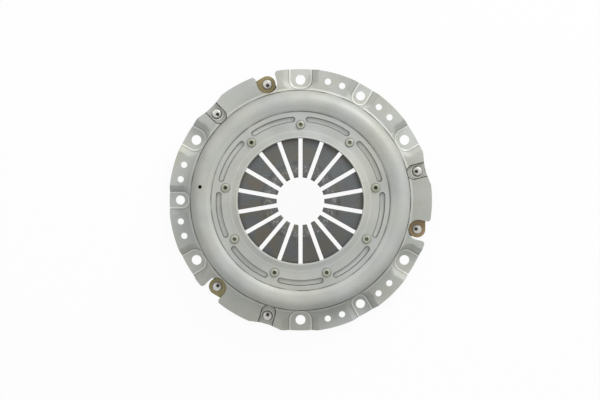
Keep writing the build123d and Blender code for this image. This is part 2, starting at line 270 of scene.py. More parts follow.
def surface_place(tree):
    """Sockets for the X, Y and Z of a point in the clutch's frame, and for how far its face looks up."""
    coordinates = tree.nodes.new("ShaderNodeTexCoord")
    place = tree.nodes.new("ShaderNodeSeparateXYZ")
    facing = tree.nodes.new("ShaderNodeSeparateXYZ")
    tree.links.new(coordinates.outputs["Object"], place.inputs["Vector"])
    tree.links.new(coordinates.outputs["Normal"], facing.inputs["Vector"])
    return *(place.outputs[axis] for axis in "XYZ"), facing.outputs["Z"]


# Metal wear and painted shade: slow stains, fine grain, thin scratches, and grime with painted shade that
# darkens the corners
metal_wear_and_shade, wear_in, wear_and_shade_out = shader_group(
    "metal_wear_and_shade",
    [
        ("Colour", "NodeSocketColor", (0.5, 0.5, 0.5, 1)),
        ("Stain Colour", "NodeSocketColor", (0.2, 0.2, 0.2, 1)),
        ("Stain", "NodeSocketFloat", 0.3),
        ("Scratches", "NodeSocketFloat", 0.3),
        ("Dirt", "NodeSocketFloat", 0.6),
        ("Roughness", "NodeSocketFloat", 0.5),
    ],
    [("Colour", "NodeSocketColor"), ("Roughness", "NodeSocketFloat"), ("Height", "NodeSocketFloat")],
)
slow_stain = ramp(metal_wear_and_shade, noise(metal_wear_and_shade, 28.0, 4.0), 0.42, 0.68)
fine_grain = noise(metal_wear_and_shade, 1500.0, 2.0)
stain_share = calc(metal_wear_and_shade, "MULTIPLY", slow_stain, wear_in.outputs["Stain"])
stained = blend_colour(metal_wear_and_shade, stain_share, wear_in.outputs["Colour"], wear_in.outputs["Stain Colour"])
grained = blend_colour(
    metal_wear_and_shade, ramp(metal_wear_and_shade, fine_grain, 0.3, 0.7, 0.0, 0.16), stained, wear_in.outputs["Stain Colour"]
)
long_scratch = ramp(metal_wear_and_shade, noise(metal_wear_and_shade, 90.0, 5.0, (1.0, 14.0, 3.0)), 0.62, 0.70)
cross_scratch = ramp(metal_wear_and_shade, noise(metal_wear_and_shade, 90.0, 5.0, (14.0, 1.3, 3.0)), 0.64, 0.72)
scratch_mask = calc(
    metal_wear_and_shade, "MULTIPLY", calc(metal_wear_and_shade, "MAXIMUM", long_scratch, cross_scratch),
    wear_in.outputs["Scratches"],
)
scratched = blend_colour(metal_wear_and_shade, scratch_mask, grained, (0.78, 0.78, 0.76))
# Ambient occlusion paints shade into corners and creases, together with their grime
corner = metal_wear_and_shade.nodes.new("ShaderNodeAmbientOcclusion")
corner.samples = 6
corner.only_local = False
corner.inputs["Distance"].default_value = 1.6 * MM
corner_shade_mask = ramp(metal_wear_and_shade, corner.outputs["AO"], 0.45, 0.95, 1.0, 0.0)
dirt_and_shade_mask = calc(metal_wear_and_shade, "MULTIPLY", corner_shade_mask, wear_in.outputs["Dirt"])
dirty_and_shaded = blend_colour(metal_wear_and_shade, dirt_and_shade_mask, scratched, (0.035, 0.033, 0.03))
metal_wear_and_shade.links.new(dirty_and_shaded, wear_and_shade_out.inputs["Colour"])
stain_roughness = ramp(metal_wear_and_shade, slow_stain, 0, 1, -0.04, 0.08)
rough = calc(metal_wear_and_shade, "ADD", wear_in.outputs["Roughness"], stain_roughness)
metal_wear_and_shade.links.new(rough, wear_and_shade_out.inputs["Roughness"])
height = calc(metal_wear_and_shade, "SUBTRACT", fine_grain, calc(metal_wear_and_shade, "MULTIPLY", scratch_mask, 0.6))
metal_wear_and_shade.links.new(height, wear_and_shade_out.inputs["Height"])


def metal(name, metallic, bump, **values):
    """Metal finished with the wear group, which also paints shade into corners. Returns the material, its
    wear node and its shader.
    """
    material = bpy.data.materials.new(name)
    material.use_nodes = True
    tree = material.node_tree
    shader = tree.nodes["Principled BSDF"]
    shader.inputs["Metallic"].default_value = metallic
    wear = tree.nodes.new("ShaderNodeGroup")
    wear.node_tree = metal_wear_and_shade
    for socket, value in values.items():
        wear.inputs[socket.replace("_", " ")].default_value = value
    relief = tree.nodes.new("ShaderNodeBump")
    relief.inputs["Strength"].default_value = bump
    relief.inputs["Distance"].default_value = 0.1 * MM
    tree.links.new(wear.outputs["Colour"], shader.inputs["Base Color"])
    tree.links.new(wear.outputs["Roughness"], shader.inputs["Roughness"])
    tree.links.new(wear.outputs["Height"], relief.inputs["Height"])
    tree.links.new(relief.outputs["Normal"], shader.inputs["Normal"])
    return material, wear, shader


cast_iron, iron_wear_and_shade, iron_shader = metal(
    "cast_iron", 0.35, 0.5, Colour=(0.20, 0.195, 0.185, 1), Stain_Colour=(0.10, 0.075, 0.055, 1),
    Stain=0.5, Scratches=0.1, Dirt=0.7, Roughness=0.62,
)

# The friction face is ground bright, with a fine circular lay and a few rust freckles
ground_top = 1.4 * MM
tree = cast_iron.node_tree
x, y, height, _ = surface_place(tree)
ground = ramp(tree, height, ground_top, ground_top - 0.2 * MM)
lay = tree.nodes.new("ShaderNodeTexNoise")
lay.noise_dimensions = "1D"
lay.inputs["Scale"].default_value = 2600.0
lay.inputs["Detail"].default_value = 3.0
tree.links.new(hypotenuse(tree, x, y), lay.inputs["W"])
lay_share = ramp(tree, lay.outputs["Fac"], 0.35, 0.65)
ground_tone = blend_colour(tree, lay_share, (0.30, 0.30, 0.295), (0.40, 0.40, 0.39))
freckles = ramp(tree, noise(tree, 420.0), 0.66, 0.72, 0.0, 0.5)
ground_tone = blend_colour(tree, freckles, ground_tone, (0.16, 0.085, 0.045))
iron_tone = blend_colour(tree, ground, iron_wear_and_shade.outputs["Colour"], ground_tone)
iron_roughness = calc(tree, "SUBTRACT", iron_wear_and_shade.outputs["Roughness"], product(tree, ground, 0.28))
tree.links.new(iron_tone, iron_shader.inputs["Base Color"])
tree.links.new(iron_roughness, iron_shader.inputs["Roughness"])
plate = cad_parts["pressure_plate"]
plate.data.materials.clear()
plate.data.materials.append(cast_iron)

# ---- Drive straps ------------------------------------------------------------------------------
# Three packs of three thin spring leaves, tempered to a straw colour. Each leaf is held by the cover
# at one end and by a lug of the pressure plate at the other.

strap_steel, strap_wear_and_shade, strap_shader = metal(
    "strap_steel", 0.3, 0.2, Colour=(0.335, 0.295, 0.145, 1), Stain_Colour=(0.20, 0.145, 0.055, 1),
    Stain=0.55, Scratches=0.25, Dirt=0.9, Roughness=0.48,
)
tree = strap_steel.node_tree
x, *_ = surface_place(tree)
hotter = ramp(tree, x, 95 * MM, 101 * MM, 0.0, 0.75)
strap_tone = blend_colour(tree, hotter, strap_wear_and_shade.outputs["Colour"], (0.30, 0.205, 0.115))
tree.links.new(strap_tone, strap_shader.inputs["Base Color"])

# The middle of a pack is the chord between its two rivets, less what is clamped at each end
strap_half_chord = 26.853 * MM
strap_chord_radius = 107.703 * MM
strap_clamped = 9 * MM
strap_steps = 18
for pack in range(3):
    turn = Matrix.Rotation(radians(120 * pack), 4, "Z")
    plate_end = turn @ Vector((strap_chord_radius, -strap_half_chord + strap_clamped, 0))
    cover_end = turn @ Vector((strap_chord_radius, strap_half_chord - strap_clamped, 0))
    along = (cover_end - plate_end).normalized()
    for leaf in range(3):
        node = f"drive_strap_{pack + 1}_leaf_{leaf + 1}"
        strip = bmesh.new()
        strip.from_mesh(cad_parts[node].data)
        bmesh.ops.remove_doubles(strip, verts=strip.verts[:], dist=0.01 * MM)
        bmesh.ops.dissolve_limit(
            strip, angle_limit=radians(0.5), verts=strip.verts[:], edges=strip.edges[:]
        )
        for step in range(1, strap_steps):
            bmesh.ops.bisect_plane(
                strip, geom=strip.verts[:] + strip.edges[:] + strip.faces[:],
                plane_co=plate_end.lerp(cover_end, step / strap_steps), plane_no=along,
            )
        bmesh.ops.triangulate(strip, faces=[face for face in strip.faces if len(face.verts) > 4])
        strap = to_object(f"strap_{pack + 1}_leaf_{leaf + 1}", strip)
        strap.data.materials.append(strap_steel)
        strap.data.shade_smooth()
        strap.data.set_sharp_from_angle(angle=radians(35))
        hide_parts(node)
        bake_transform(strap)

# ---- Cover -------------------------------------------------------------------------------------
# A dome pressed from 3 mm steel sheet, bolted to the flywheel through pads that are let down from
# its raised flange. Nine shallow beads in the ledge are the upper fulcrum of the spring.

sheet = 3.0 * MM
crown_top = 37.0 * MM
ledge_top = 33.5 * MM
lip_top = 35.5 * MM
flange_top = 12.8 * MM
pocket_floor = 10.0 * MM
rim_radius = 121.0 * MM
dome_foot = 101.2 * MM
crown_outer = 98.656 * MM
crown_inner = 85.556 * MM
ledge_outer = 81.356 * MM
ledge_inner = 64.356 * MM
bore_radius = 57.856 * MM
fulcrum_radius = 74.506 * MM
bead_width = 4.5 * MM
bead_wall = 0.75 * MM
bead_depth = 2.4 * MM
bead_half_angle = radians(14.4)
bead_angles = [radians(30 + 40 * index) for index in range(9)]
bolt_angles = [radians(30 + 60 * index) for index in range(6)]
dowel_angles = [radians(60 + 120 * index) for index in range(3)]
pocket_angles = [radians(14 + 120 * index) for index in range(3)]
notch_angles = [radians(-14 + 120 * index) for index in range(3)]
rivet_angles = [radians(10 + 40 * index) for index in range(9)]
gauge_angle = radians(171.9)
bolt_circle = 111.2 * MM
balance_circle = 112.0 * MM
strap_circle = 111.0 * MM
rivet_circle = 69.356 * MM
gauge_circle = 92.156 * MM
pocket_width = 14.1 * MM
pocket_reach = 10.6 * MM
notch_width = 18.6 * MM
notch_reach = 8.4 * MM
balance_turns = (-17, -10, 10, 17)
pad_end_run = 1.3 * MM
pad_side_run = 6.6 * MM
# Inner end, half width and corner of the troughs that the pads lie in
bolt_trough = (dome_foot + 2.2 * MM, 10 * MM, 8 * MM)
dowel_trough = (dome_foot + 1.8 * MM, 7.25 * MM, 6.5 * MM)
bolt_hole = 9.2 * MM
dowel_hole = 8.5 * MM
balance_hole = 5.9 * MM
fulcrum_hole = 5.44 * MM
gauge_hole = 3.3 * MM
strap_hole = 6.04 * MM
strap_spot_face = 13.6 * MM

# Half section of the upper skin, from the bore to the rim: radius, height, setback of the rounding
skin_corners = (
    (bore_radius, lip_top, 0),
    (ledge_inner, ledge_top, 3.0 * MM),
    (ledge_outer, ledge_top, 0.35 * MM),
    (crown_inner, crown_top, 4.9 * MM),
    (crown_outer, crown_top, 7.4 * MM),
    (dome_foot, flange_top, 2.6 * MM),
    (rim_radius, flange_top, 0),
)
skin = bmesh.new()
corner_verts = [skin.verts.new((radius, 0, height)) for radius, height, _ in skin_corners]
for start, end in zip(corner_verts, corner_verts[1:]):
    skin.edges.new((start, end))
for vert, (_, _, setback) in zip(corner_verts, skin_corners):
    if setback:
        bmesh.ops.bevel(
            skin, geom=[vert], offset=setback, offset_type="OFFSET",
            segments=8 if setback > 4 * MM else 4, profile=0.5, affect="VERTICES", material=-1,
        )

# Rings of points, close together at the foot of the dome and along the flange
foot_inner = dome_foot - 0.5 * MM
foot_outer = dome_foot + 3.4 * MM
bmesh.ops.bisect_plane(
    skin, geom=skin.verts[:] + skin.edges[:], plane_co=(foot_outer, 0, 0), plane_no=(1, 0, 0)
)
for edge in skin.edges[:]:
    middle = (edge.verts[0].co + edge.verts[1].co) / 2
    step = 4 * MM
    if middle.x > foot_inner:
        step = 0.45 * MM if middle.x < foot_outer else 1.25 * MM
    cuts = int(edge.calc_length() / step)
    if cuts:
        bmesh.ops.subdivide_edges(skin, edges=[edge], cuts=cuts)
bmesh.ops.spin(
    skin, geom=skin.verts[:] + skin.edges[:], cent=(0, 0, 0), axis=(0, 0, 1),
    angle=2 * pi, steps=540, use_merge=True,
)
bmesh.ops.recalc_face_normals(skin, faces=skin.faces[:])
if sum(face.normal.z for face in skin.faces) < 0:
    bmesh.ops.reverse_faces(skin, faces=skin.faces[:])


def ease(value):
    """Smooth ramp from 0 to 1."""
    value = min(max(value, 0.0), 1.0)
    return value * value * (3 - 2 * value)


def pad_share(point, angles, end, half, corner):
    """Depth share, 0 to 1, of a ring of pads whose round-cornered troughs open at the rim."""
    share = 0.0
    for angle in angles:
        u = point.x * cos(angle) + point.y * sin(angle)
        v = point.y * cos(angle) - point.x * sin(angle)
        if u > 0 and abs(v) < 3 * half:
            across = max(abs(v) - (half - corner), 0.0)
            along = max(end + corner - u, 0.0)
            reach = hypot(across, along)
            if not reach:
                return 1.0
            run = pad_end_run + (pad_side_run - pad_end_run) * (across / reach) ** 2
            share = max(share, 1 - ease((reach - corner) / run))
    return share


# The pads are let down from the flange to the bolting face
for vert in skin.verts:
    if hypot(vert.co.x, vert.co.y) > dome_foot - 1 * MM:
        bolt_pad = pad_share(vert.co, bolt_angles, *bolt_trough)
        dowel_pad = pad_share(vert.co, dowel_angles, *dowel_trough)
        vert.co.z += (sheet - vert.co.z) * max(bolt_pad, dowel_pad)

cover = to_object("pressed_cover", skin)
thickness = cover.modifiers.new("sheet", "SOLIDIFY")
thickness.thickness = sheet
thickness.offset = -1
thickness.use_even_offset = True


def add_prism(mesh, face, height, foot_round=0.0):
    """Raises an outline to an upright solid, with its foot edges rounded if asked."""
    outline = list(face.edges)
    raised = bmesh.ops.extrude_face_region(mesh, geom=[face])["geom"]
    top = [item for item in raised if isinstance(item, bmesh.types.BMVert)]
    bmesh.ops.translate(mesh, verts=top, vec=(0, 0, height))
    if foot_round:
        bmesh.ops.bevel(
            mesh, geom=outline, offset=foot_round, offset_type="OFFSET", segments=3,
            profile=0.5, affect="EDGES", material=-1,
        )


def add_round(mesh, circle, angle, diameter, low, high, segments=40):
    """Upright round solid on a circle about the clutch axis."""
    place = Matrix.Translation((circle * cos(angle), circle * sin(angle), (low + high) / 2))
    bmesh.ops.create_cone(
        mesh, cap_ends=True, segments=segments, radius1=diameter / 2, radius2=diameter / 2,
        depth=high - low, matrix=place,
    )


def add_slot(mesh, angle, inner, outer, width, low, high, foot_round=0.0, mouth=0.0, flare=0.0):
    """Upright solid along a radius, round at its inner end. It may widen at its mouth by a flare."""
    half = width / 2
    side = []
    for step in range(37):
        turn = pi / 72 * step
        side.append((inner + half * (1 - cos(turn)), half * sin(turn)))
    if flare:
        for step in range(7):
            turn = pi / 12 * step
            side.append((mouth - flare * (1 - sin(turn)), half + flare * (1 - cos(turn))))
    side.append((outer, half + flare))
    outline = side + [(x, -y) for x, y in side[:0:-1]]
    verts = [mesh.verts.new((x, y, low)) for x, y in outline]
    bmesh.ops.rotate(mesh, cent=(0, 0, 0), matrix=Matrix.Rotation(angle, 3, "Z"), verts=verts)
    add_prism(mesh, mesh.faces.new(verts), high - low, foot_round)


def add_bead(mesh, angle, width, low, high, foot_round=0.0):
    """Upright solid along an arc of the fulcrum circle, round at both ends."""
    step = pi / 12
    place = Matrix.Translation((fulcrum_radius, 0, low)) @ Matrix.Rotation(step / 2, 4, "Z")
    circle = bmesh.ops.create_circle(mesh, cap_ends=True, segments=24, radius=width / 2, matrix=place)
    ends = circle["verts"]
    face = ends[0].link_faces[0]
    for vert in ends:
        turn = Matrix.Rotation(bead_half_angle if vert.co.y > 0 else -bead_half_angle, 3, "Z")
        vert.co = turn @ vert.co
    for edge in [edge for edge in face.edges if edge.calc_length() > width]:
        outside = edge.verts[0].co.xy.length > fulcrum_radius
        radius = fulcrum_radius + (width / 2 if outside else -width / 2)
        cut = bmesh.ops.subdivide_edges(mesh, edges=[edge], cuts=23)["geom_inner"]
        for vert in [item for item in cut if isinstance(item, bmesh.types.BMVert)]:
            vert.co.xy = vert.co.xy.normalized() * radius
    bmesh.ops.rotate(mesh, cent=(0, 0, 0), matrix=Matrix.Rotation(angle, 3, "Z"), verts=list(face.verts))
    add_prism(mesh, face, high - low, foot_round)


def work_sheet(piece, tool, operation):
    """Joins a tool to the sheet or cuts the sheet with it."""
    bmesh.ops.recalc_face_normals(tool, faces=tool.faces[:])
    tool_object = to_object("tool", tool)
    press = piece.modifiers.new("press", "BOOLEAN")
    press.operation = operation
    press.solver = "MANIFOLD"
    press.object = tool_object
    graph = bpy.context.evaluated_depsgraph_get()
    worked = bpy.data.meshes.new_from_object(piece.evaluated_get(graph))
    piece.modifiers.clear()
    piece.data = worked
    bpy.data.objects.remove(tool_object)


# Undersides of the pockets and beads
swages = bmesh.new()
for angle in pocket_angles:
    add_slot(
        swages, angle, strap_circle - pocket_reach - 1.6 * MM, rim_radius - 0.4 * MM,
        pocket_width + 4.8 * MM, low=7.0 * MM, high=11.6 * MM, foot_round=1.4 * MM,
    )
for angle in bead_angles:
    add_bead(
        swages, angle, bead_width + 2 * bead_wall, low=28.1 * MM, high=32.0 * MM, foot_round=2.0 * MM
    )
work_sheet(cover, swages, "UNION")

# The rim is nibbled a little at each pocket, by a large round tool that reaches 2.4 mm in
nibble_circle = 198.6 * MM
nibble_diameter = 160 * MM
punches = bmesh.new()
for angle in pocket_angles:
    add_round(punches, nibble_circle, angle, nibble_diameter, -5 * MM, 25 * MM, segments=360)
work_sheet(cover, punches, "DIFFERENCE")

# Upper sides of the pockets and beads, the notches and the holes
past_rim = rim_radius + 9 * MM
punches = bmesh.new()
for angle in pocket_angles:
    add_slot(
        punches, angle, strap_circle - pocket_reach, past_rim, pocket_width,
        low=pocket_floor, high=20 * MM, foot_round=0.8 * MM,
    )
for angle in notch_angles:
    add_slot(
        punches, angle, strap_circle - notch_reach, past_rim, notch_width,
        low=0, high=30 * MM, mouth=120.5 * MM, flare=3 * MM,
    )
for angle in bead_angles:
    add_bead(punches, angle, bead_width, low=ledge_top - bead_depth, high=40 * MM, foot_round=0.6 * MM)
for angle in bolt_angles:
    add_round(punches, bolt_circle, angle, bolt_hole, -2 * MM, 8 * MM)
for angle in dowel_angles:
    add_round(punches, bolt_circle, angle, dowel_hole, -2 * MM, 8 * MM)
    for turn in balance_turns:
        add_round(punches, balance_circle, angle + radians(turn), balance_hole, 0, 20 * MM)
for angle in rivet_angles:
    add_round(punches, rivet_circle, angle, fulcrum_hole, 20 * MM, 40 * MM)
add_round(punches, gauge_circle, gauge_angle, gauge_hole, 25 * MM, 45 * MM)
work_sheet(cover, punches, "DIFFERENCE")

# A spot face and a hole for each strap rivet
punches = bmesh.new()
for angle in pocket_angles:
    add_round(
        punches, strap_circle, angle, strap_spot_face, pocket_floor - 0.25 * MM, 12 * MM, segments=64
    )
work_sheet(cover, punches, "DIFFERENCE")
punches = bmesh.new()
for angle in pocket_angles:
    add_round(punches, strap_circle, angle, strap_hole, 0, 20 * MM)
work_sheet(cover, punches, "DIFFERENCE")


def settle_mesh(piece):
    """Applies a piece's modifiers, merges points that all but touch and drops faces without area."""
    touching = 0.02 * MM
    graph = bpy.context.evaluated_depsgraph_get()
    shaped = bpy.data.meshes.new_from_object(piece.evaluated_get(graph))
    solid = bmesh.new()
    solid.from_mesh(shaped)
    bmesh.ops.remove_doubles(solid, verts=solid.verts[:], dist=touching)
    bmesh.ops.dissolve_degenerate(solid, dist=touching, edges=solid.edges[:])
    solid.to_mesh(shaped)
    solid.free()
    piece.modifiers.clear()
    piece.data = shaped
    shaped.shade_smooth()


# Punched and blanked edges are a little rolled
rolled = cover.modifiers.new("rolled_edges", "BEVEL")
rolled.limit_method = "ANGLE"
rolled.angle_limit = radians(40)
rolled.width = 0.45 * MM
rolled.segments = 2
settle_mesh(cover)
cover.data.set_sharp_from_angle(angle=radians(38))

pressed_steel, cover_wear_and_shade, cover_shader = metal(
    "pressed_steel", 0.2, 0.25, Colour=(0.475, 0.485, 0.46, 1), Stain_Colour=(0.33, 0.335, 0.30, 1),
    Stain=0.4, Scratches=0.12, Dirt=0.85, Roughness=0.6,
)

# Painted light on the cover: painted highlights on the walls of the pads and the lip, and painted shade in
# the sharp corners, carried by the Scale output
painted_light_marks, _, marks_out = shader_group(
    "painted_light_marks", [], [("PaintedHighlights", "NodeSocketFloat"), ("Scale", "NodeSocketFloat")]
)
tree = painted_light_marks
x, y, height, lean = surface_place(tree)
distance = hypotenuse(tree, x, y)
bearing = product(tree, calc(tree, "ARCTAN2", y, x), 180 / pi)


def turn_from(tree, bearing, first, half_turn):
    """Degrees from a bearing to the nearest of a ring of angles, which starts at first."""
    return calc(tree, "PINGPONG", calc(tree, "ADD", bearing, 360.0 - first), half_turn)


def band(tree, value, low, high, soft):
    """1 between low and high, falling to 0 over a soft edge."""
    return product(tree, ramp(tree, value, low - soft, low), ramp(tree, value, high + soft, high))


def largest(tree, *masks):
    """Largest of several sockets."""
    result = masks[0]
    for mask in masks[1:]:
        result = calc(tree, "MAXIMUM", result, mask)
    return result


def along_and_across(tree, distance, turn):
    """How far a point lies along a radius and beside it, from its turn off that radius in degrees."""
    turn = calc(tree, "RADIANS", turn, 0.0)
    return [product(tree, distance, calc(tree, side, turn, 0.0)) for side in ("COSINE", "SINE")]


def from_trough(tree, distance, turn, end, half, corner):
    """Distance from a round-cornered trough shrunk by its corner, so its edge lies where this is corner."""
    along, across = along_and_across(tree, distance, turn)
    short = calc(tree, "SUBTRACT", end + corner, along)
    wide = calc(tree, "SUBTRACT", across, half - corner)
    return hypotenuse(tree, *(calc(tree, "MAXIMUM", side, 0.0) for side in (short, wide)))


upward = ramp(tree, lean, -0.02, 0.03)
from_pocket = turn_from(tree, bearing, 14.0, 60.0)

# Painted highlights on the walls and floors of the pads, the floors of the grooves and rolled bands of the
# dome
pad_walls = product(
    tree, upward, ramp(tree, lean, 0.9, 0.6), band(tree, height, 3.4 * MM, 11.6 * MM, 0.8 * MM),
    band(tree, distance, 101.6 * MM, 120.2 * MM, 0.4 * MM), ramp(tree, from_pocket, 4.0, 5.5), 0.35,
)
pad_floor = product(tree, upward, ramp(tree, height, 3.7 * MM, 3.3 * MM), 0.22)
groove_floor = product(
    tree, upward, band(tree, height, 31.0 * MM, 31.14 * MM, 0.05 * MM),
    band(tree, distance, 71.0 * MM, 78.0 * MM, 0.3 * MM), 0.3,
)
foot_band = product(
    tree, upward, band(tree, distance, 102.2 * MM, 103.4 * MM, 0.5 * MM),
    ramp(tree, height, 12.5 * MM, 12.8 * MM), 0.3,
)
lip_band = 0.0
for low, high, soft, share in ((57.0, 58.3, 0.3, 0.5), (63.5, 64.1, 0.5, 0.16), (82.6, 85.2, 1.0, 0.12)):
    ring_band = band(tree, distance, low * MM, high * MM, soft * MM)
    lip_band = calc(tree, "ADD", lip_band, product(tree, ring_band, share))

# The foot of each pad has a painted highlight line and a painted shade line beside it
pad_gleams = []
pad_shades = []
for first, half_turn, trough in ((30, 30.0, bolt_trough), (60, 60.0, dowel_trough)):
    corner = trough[2]
    from_pad = turn_from(tree, bearing, first, half_turn)
    beyond = from_trough(tree, distance, from_pad, *trough)
    on_pad = product(
        tree, upward, ramp(tree, from_pad, 14.0, 12.0), ramp(tree, height, 12.5 * MM, 12.0 * MM)
    )
    gleam = band(tree, beyond, corner - 0.6 * MM, corner + 0.3 * MM, 0.3 * MM)
    shade = band(tree, beyond, corner + 0.8 * MM, corner + 1.2 * MM, 0.3 * MM)
    pad_gleams.append(product(tree, on_pad, gleam, 0.95))
    pad_shades.append(product(tree, on_pad, shade, 0.45))

# Painted shade on the walls of the pockets, and round each strap rivet a painted highlight ring with a
# painted shade ring inside it
pocket_trough = (strap_circle - pocket_reach, pocket_width / 2, pocket_width / 2)
from_middle = from_trough(tree, distance, from_pocket, *pocket_trough)
pocket_wall = product(
    tree, upward, band(tree, height, 9.7 * MM, 12.74 * MM, 0.05 * MM),
    ramp(tree, from_pocket, 9.0, 8.0), band(tree, from_middle, 6.4 * MM, 7.7 * MM, 0.3 * MM),
)
along_pocket, beside_rivet = along_and_across(tree, distance, from_pocket)
past_rivet = calc(tree, "SUBTRACT", along_pocket, strap_circle)
from_rivet = hypotenuse(tree, past_rivet, beside_rivet)
in_pocket = product(
    tree, upward, band(tree, height, 9.6 * MM, 10.3 * MM, 0.1 * MM), ramp(tree, past_rivet, 3.0 * MM, 0.0)
)
rivet_shade = product(tree, in_pocket, band(tree, from_rivet, 4.3 * MM, 5.0 * MM, 0.3 * MM), 0.6)
spot_face_gleam = product(tree, in_pocket, band(tree, from_rivet, 5.6 * MM, 6.0 * MM, 0.3 * MM), 0.8)

# Painted shade on the walls of the coined grooves, with a painted highlight inside them
from_groove = turn_from(tree, bearing, 30.0, 20.0)
past_end = calc(tree, "MAXIMUM", calc(tree, "SUBTRACT", from_groove, degrees(bead_half_angle)), 0.0)
beyond_end = product(tree, past_end, radians(1) * fulcrum_radius)
from_arc = hypotenuse(tree, beyond_end, calc(tree, "SUBTRACT", distance, fulcrum_radius))
on_ledge = product(tree, upward, band(tree, height, 30.9 * MM, 33.6 * MM, 0.2 * MM))
groove_wall = product(tree, on_ledge, band(tree, from_arc, 2.15 * MM, 2.5 * MM, 0.2 * MM), 0.9)
groove_gleam = product(tree, on_ledge, band(tree, from_arc, 1.6 * MM, 1.8 * MM, 0.2 * MM), 0.5)

# Patchy painted shade lines at the foot of the dome and round the ledge
dome_foot_line = product(
    tree, upward, band(tree, distance, 99.9 * MM, 101.5 * MM, 0.4 * MM),
    ramp(tree, height, 17.5 * MM, 15.0 * MM),
)
ledge_line = product(tree, upward, band(tree, distance, 81.2 * MM, 81.8 * MM, 0.4 * MM), 0.75)
patchy = ramp(tree, noise(tree, 60.0, 2.0), 0.38, 0.55, 0.35, 1.0)
round_lines = product(tree, largest(tree, dome_foot_line, ledge_line), patchy)

bright_parts = largest(
    tree, pad_walls, lip_band, foot_band, pad_floor, groove_floor, *pad_gleams, groove_gleam,
    spot_face_gleam,
)
# The Scale output carries the painted shade
painted_shade_mask = largest(tree, *pad_shades, pocket_wall, groove_wall, rivet_shade, round_lines)
tree.links.new(bright_parts, marks_out.inputs["PaintedHighlights"])
tree.links.new(painted_shade_mask, marks_out.inputs["Scale"])

tree = pressed_steel.node_tree
marks = tree.nodes.new("ShaderNodeGroup")
marks.node_tree = painted_light_marks
# The painted highlights lighten the steel towards a pale grey
highlight_share = product(tree, marks.outputs["PaintedHighlights"], 0.8)
highlighted = blend_colour(tree, highlight_share, cover_wear_and_shade.outputs["Colour"], (0.86, 0.87, 0.83))

# Oil has dried on the steel in slow yellowish and bluish patches
oil_share = ramp(tree, noise(tree, 22.0, 4.0), 0.38, 0.62)
oil = blend_colour(tree, oil_share, (1.0, 0.99, 0.94), (0.98, 0.995, 1.01))
oiled = blend_colour(tree, 1.0, highlighted, oil, "MULTIPLY")
# Painted shade darkens the steel towards black
painted_shade_share = product(tree, marks.outputs["Scale"], 0.93)
shaded = blend_colour(tree, painted_shade_share, oiled, (0.05, 0.05, 0.045))
tree.links.new(shaded, cover_shader.inputs["Base Color"])
cover.data.materials.clear()
cover.data.materials.append(pressed_steel)
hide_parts("cover")
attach(cover, "cover")

# ---- Strap rivets ------------------------------------------------------------------------------
# Bright rivets with domed heads. Three hold the straps in the cover's pockets and three hold them
# on the plate's lugs. Each head has a punch mark on the side towards the axis.


def turned(name, profile, place, segments, press_mark, *details):
    """Solid turned from (radius, height) pairs that start and end on its axis, with a mark pressed in."""
    solid = bmesh.new()
    line = [solid.verts.new((radius, 0, height)) for radius, height in profile]
    for start, end in zip(line, line[1:]):
        solid.edges.new((start, end))
    bmesh.ops.spin(
        solid, geom=solid.verts[:] + solid.edges[:], cent=(0, 0, 0), axis=(0, 0, 1),
        angle=2 * pi, steps=segments, use_merge=True,
    )
    bmesh.ops.remove_doubles(solid, verts=solid.verts[:], dist=0.005 * MM)
    bmesh.ops.recalc_face_normals(solid, faces=solid.faces[:])
    press_mark(solid, *details)
    bmesh.ops.translate(solid, verts=solid.verts[:], vec=place)
    piece = to_object(name, solid)
    piece.data.shade_smooth()
    piece.data.set_sharp_from_angle(angle=radians(40))
    return piece


def punch(solid, inward, seat):
    """Presses a round mark into the crown of a head, on its inward side, and flags it for painted shade."""
    layer = solid.verts.layers.float.new("mark")
    middle = inward * 1.2 * MM
    for vert in solid.verts:
        if vert.co.z > seat + 1.0 * MM:
            away = (vert.co.xy - middle.xy).length
            share = 1 - ease((away - 1.2 * MM) / (0.65 * MM))
            vert.co.z -= 0.8 * MM * share
            vert[layer] = share


def tint_by_mark(tree, attribute, first, second):
    """Blends two colours by an attribute that the mesh itself carries."""
    mark = tree.nodes.new("ShaderNodeAttribute")
    mark.attribute_name = attribute
    return blend_colour(tree, mark.outputs["Fac"], first, second)


strap_rivet_steel, rivet_wear_and_shade, rivet_shader = metal(
    "strap_rivet_steel", 0.45, 0.15, Colour=(0.66, 0.655, 0.63, 1), Stain_Colour=(0.38, 0.36, 0.30, 1),
    Stain=0.4, Scratches=0.1, Dirt=0.9, Roughness=0.36,
)
tree = strap_rivet_steel.node_tree
# The punch mark is painted nearly black, painted shade of a deep hole
rivet_tone = tint_by_mark(tree, "mark", rivet_wear_and_shade.outputs["Colour"], (0.03, 0.028, 0.026))
tree.links.new(rivet_tone, rivet_shader.inputs["Base Color"])

